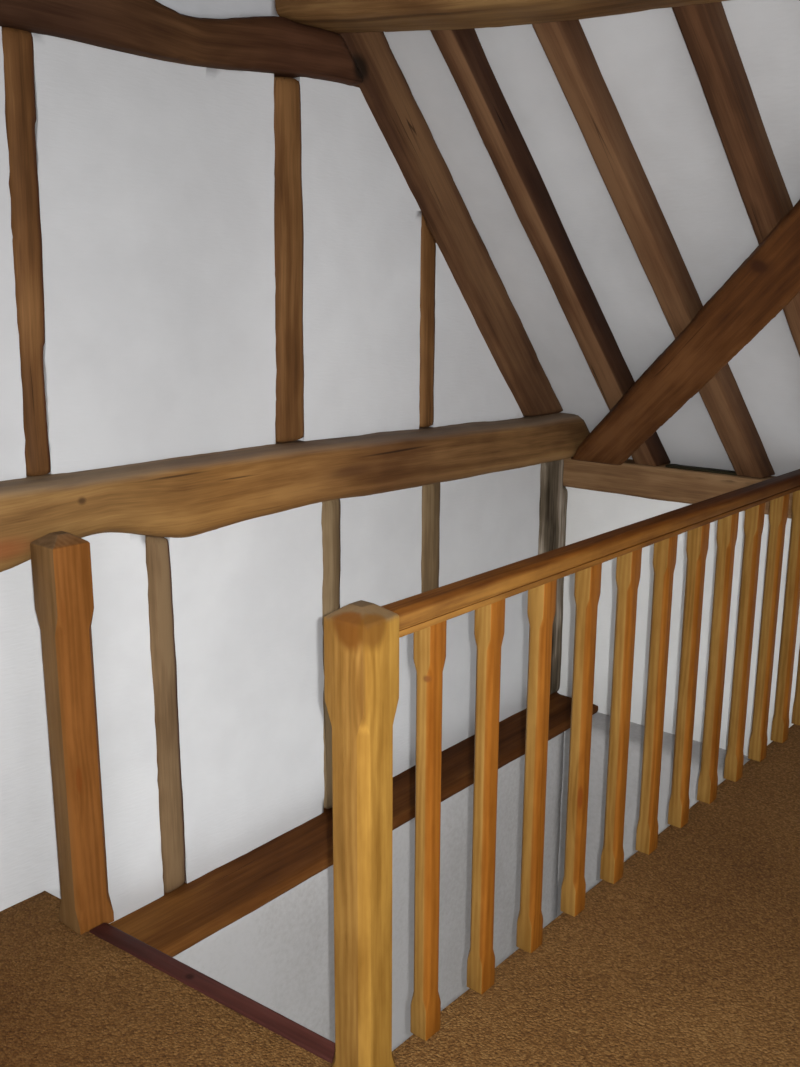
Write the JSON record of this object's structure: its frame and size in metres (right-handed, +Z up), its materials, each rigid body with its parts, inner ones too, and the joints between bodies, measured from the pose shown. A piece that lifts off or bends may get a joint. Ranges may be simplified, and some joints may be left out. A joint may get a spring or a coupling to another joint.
{
  "type": "end bay of a converted timber-framed barn",
  "caption": "End bay of a timber-framed barn made into a house, with a boarded loft, curved tie beam, clasped purlins, rafters, braces and an open stairwell with a guard.",
  "frame": {"origin": "on the ground, under the middle of the bay's box", "axes": "+X along the gable, +Y into the gable wall, +Z up"},
  "size_m": [5.8978, 3.161, 6.2684],
  "materials": {
    "limewash": "matt limewash over render",
    "plaster": "matt white plaster with brushed edges",
    "clay_tile": "plain clay tile, weathered",
    "carpet": "looped natural-fibre carpet",
    "dark_trim": "dark red-brown stain",
    "varnished_pine": "satin varnish over knotty pine",
    "old_pine": "aged varnish",
    "waxed_oak": "waxed, worn arrises",
    "grey_oak": "dry, greyed",
    "weathered_oak": "dry, mottled, dark",
    "packing": "dry, greenish",
    "sawn_softwood": "sawn",
    "dark_oak": "dark stained, satin"
  },
  "bodies": {
    "root": {"apex_infill": "plaster", "balusters": "varnished_pine", "bridging_beam": "sawn_softwood", "carpet": "carpet", "collar": "dark_oak", "common_rafters_left": "dark_oak", "common_rafters_right": "dark_oak", "corner_post_left": "weathered_oak", "corner_post_right": "weathered_oak", "eaves_wall_left": "plaster", "eaves_wall_right": "plaster", "floor_boards": "sawn_softwood", "floor_joists": "sawn_softwood", "gable_rafter_left": "dark_oak", "gable_rafter_right": "dark_oak", "ground_gable_wall": "limewash", "ground_side_wall_left": "limewash", "ground_side_wall_right": "limewash", "handrail": "varnished_pine", "landing_nosing": "dark_trim", "landing_trimmer": "sawn_softwood", "lower_infill": "plaster", "lower_studs": "grey_oak", "near_collar": "dark_oak", "plate_packing": "packing", "purlin_left": "dark_oak", "purlin_right": "dark_oak", "ridge_tiles": "clay_tile", "roof_covering_left": "clay_tile", "roof_covering_right": "clay_tile", "roof_lining_left": "plaster", "roof_lining_right": "plaster", "sill_ledge": "waxed_oak", "stair_newel": "varnished_pine", "stair_trimmer": "sawn_softwood", "tie_beam": "waxed_oak", "upper_infill": "plaster", "upper_studs": "grey_oak", "wall_newel": "old_pine", "wall_plate_left": "dark_oak", "wall_plate_right": "dark_oak", "wind_brace_left": "dark_oak", "wind_brace_right": "dark_oak"}
  },
  "joints": []
}
